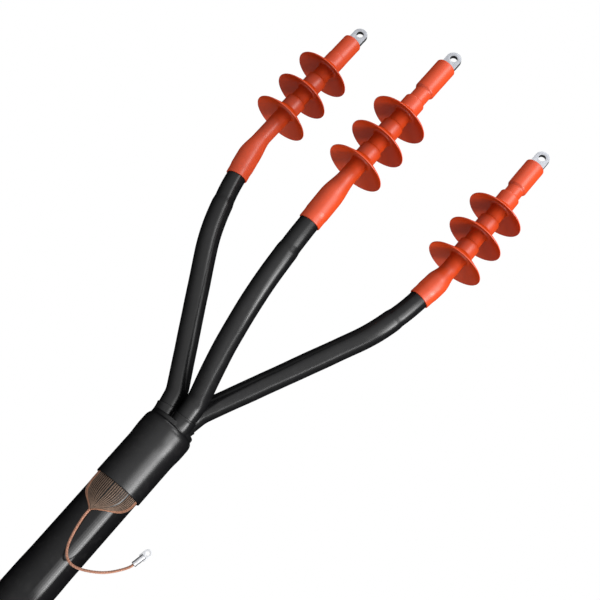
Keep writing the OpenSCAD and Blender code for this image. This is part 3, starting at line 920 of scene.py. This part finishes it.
def plain_fill(name, tone, rough, metallic=0.0):
    f = Finish(name, Metallic=metallic)
    slow = f.cloud(6, 4)
    fine = f.cloud(0.9, 2)
    colour = f.mix(slow, shade(*tone), scaled(tone, 0.82))
    return f.surface(Base_Color=colour, Roughness=rough + 0.1 * (fine - 0.5), Normal=f.bump(fine, 0.04))


def dress(finishes):
    """Gives each shown piece and node the finish of its own name, or else of its material slot."""
    slots = {p["node"]: p["material_slot"] for p in frame["record"]["subparts"]}
    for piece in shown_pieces():
        slot = piece.get("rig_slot") or slots[piece["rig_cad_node"]]
        piece.data.materials.clear()
        piece.data.materials.append(finishes.get(piece.name, finishes[slot]))


# Studio, in metres

FLOOR_AT = -0.9
FLOOR_R = 2.0
ROOM_LIGHT = 0.42

# Heights of each tier of the light wall, with the level of its panel at each bearing
LIGHT_WALL = {
    (0.0, 0.52): {58: 20.0, 47: 17.5, 36: 6.4, 25: 2.6},
    (0.52, 1.0): {58: 15.5, 47: 17.5, 36: 7.6, 25: 6.0, 14: 2.4},
    (1.68, 2.84): {47: 4.2, 36: 9.2, 25: 9.5, 14: 4.5},
}


def soft_box(name, at, aim, size, power):
    data = bpy.data.lights.new(name, "AREA")
    data.shape = "RECTANGLE"
    data.size, data.size_y = size
    data.energy = power
    lamp = add_object(name, data)
    turn = (Vector(aim) - Vector(at)).to_track_quat("-Z", "Y")
    lamp.matrix_world = Matrix.Translation(Vector(at)) @ turn.to_matrix().to_4x4()


def panel(bearing, low, high, level, width=0.49, reach=2.6):
    """One upright panel of the curved light wall on the camera's right, with its level in whites."""
    at = (reach * sind(bearing), -reach * cosd(bearing), (low + high) / 2)
    power = level * math.pi * width * (high - low)
    soft_box(f"panel_{bearing}_{low}", at, (0, 0, at[2]), (width, high - low), power)


def white_room():
    """A world that looks white, also in gloss, and lights the part less than that."""
    world = bpy.data.worlds.new("white_room")
    room = Nodes(world)
    seen = 0.0
    for kind in ("Glossy", "Transmission", "Camera"):
        ray = room.node("ShaderNodeLightPath", output=f"Is {kind} Ray")
        seen = room.node("ShaderNodeMath", {"operation": "MAXIMUM"}, {0: ray, 1: seen})
    strength = room.node("ShaderNodeMapRange", sockets={"Value": seen, "To Min": ROOM_LIGHT, "To Max": 1.0})
    back = room.node("ShaderNodeBackground", sockets={"Color": (1, 1, 1, 1), "Strength": strength})
    room.node("ShaderNodeOutputWorld", sockets={"Surface": back})
    bpy.context.scene.world = world


def studio():
    for (low, high), levels in LIGHT_WALL.items():
        for bearing, level in levels.items():
            panel(bearing, low, high, level)
    panel(54, 0.0, 0.52, level=34, width=0.09)
    panel(56, -0.85, 0.0, level=9, width=0.26, reach=1.5)
    soft_box("top", at=(0.2, -1.1, 2.3), aim=(0, -0.05, 0.7), size=(1.2, 0.5), power=14)
    soft_box("fill", at=(-0.7, -0.9, 2.4), aim=(0, 0, 0.7), size=(0.6, 0.6), power=10)
    white_room()
    bpy.context.scene.view_settings.view_transform = "Standard"


def floor():
    mesh = bpy.data.meshes.new("floor")
    work = bmesh.new()
    bmesh.ops.create_circle(work, cap_ends=True, segments=96, radius=FLOOR_R)
    bmesh.ops.translate(work, verts=work.verts, vec=(0, 0, FLOOR_AT))
    work.to_mesh(mesh)
    work.free()
    piece = add_object("floor", mesh)
    f = Finish("pale_floor", Specular_IOR_Level=0.1)
    tint = f.mix(f.cloud(400, 2), (0.86, 0.86, 0.86, 1), (0.9, 0.9, 0.9, 1))
    mesh.materials.append(f.surface(Base_Color=tint, Roughness=0.9))


place_camera()
earth_lead(crimp_sleeve(broken_edges("earth_lug", "crimp_lug", "tinned_metal", width=0.25)))
sheath()
fan_wires()
fan_border()
breakout_boot()
for route in ROUTES:
    core_tube(route)
    red_tube(route)
    skirts(route)
    broken_edges(f"lug_{route.i + 1}", f"terminal_lug_{route.i + 1}", "lug_metal", width=0.7)

hole_axis = {m["name"]: m["axis"] for m in frame["record"]["mounts"]}
lug_axis, earth_axis = hole_axis["lug_hole_1"], hole_axis["earth_hole"]
dress({
    "sheath_black": black_polymer("sheath_black", (8, 8, 9), rough=0.14, grain=0.008, gloss=0.5),
    "boot_black": black_polymer("boot_black", (10, 10, 11), rough=0.26, grain=0.012, gloss=0.88),
    "tube_black": black_polymer("tube_black", (10, 10, 11), rough=0.26, grain=0.012, gloss=0.86),
    "red_polymer": red_polymer("red_polymer"),
    "screen_copper": copper_strand("screen_copper", (128, 90, 73), (151, 111, 93), rough=0.45),
    "fan_wires": copper_strand("aged_copper", (80, 65, 55), (100, 83, 71), rough=0.52),
    "fan_border": copper_strand("border_copper", (108, 74, 57), (131, 93, 73), rough=0.5),
    # The two lug finishes paint shade on edge faces and light on flat faces, between the ramp limits given.
    "lug_metal": tinned_metal("lug_metal", (154, 156, 161), lug_axis, shade_up_to=0.42, light_from=0.74),
    "tinned_metal": tinned_metal("tinned_metal", (176, 177, 180), earth_axis, shade_up_to=0.56, light_from=0.9),
    "conductor_metal": plain_fill("conductor_metal", (176, 178, 182), rough=0.4, metallic=0.9),
    "insulation_white": plain_fill("insulation_white", (232, 228, 214), rough=0.5),
    "semicon_black": plain_fill("semicon_black", (34, 34, 36), rough=0.6),
    "bedding_grey": plain_fill("bedding_grey", (92, 90, 88), rough=0.8),
    "sealing_mastic": plain_fill("sealing_mastic", (58, 48, 40), rough=0.6),
    "stress_mastic": plain_fill("stress_mastic", (196, 160, 62), rough=0.6),
    "red_mastic": plain_fill("red_mastic", (140, 48, 30), rough=0.6),
})
floor()
studio()
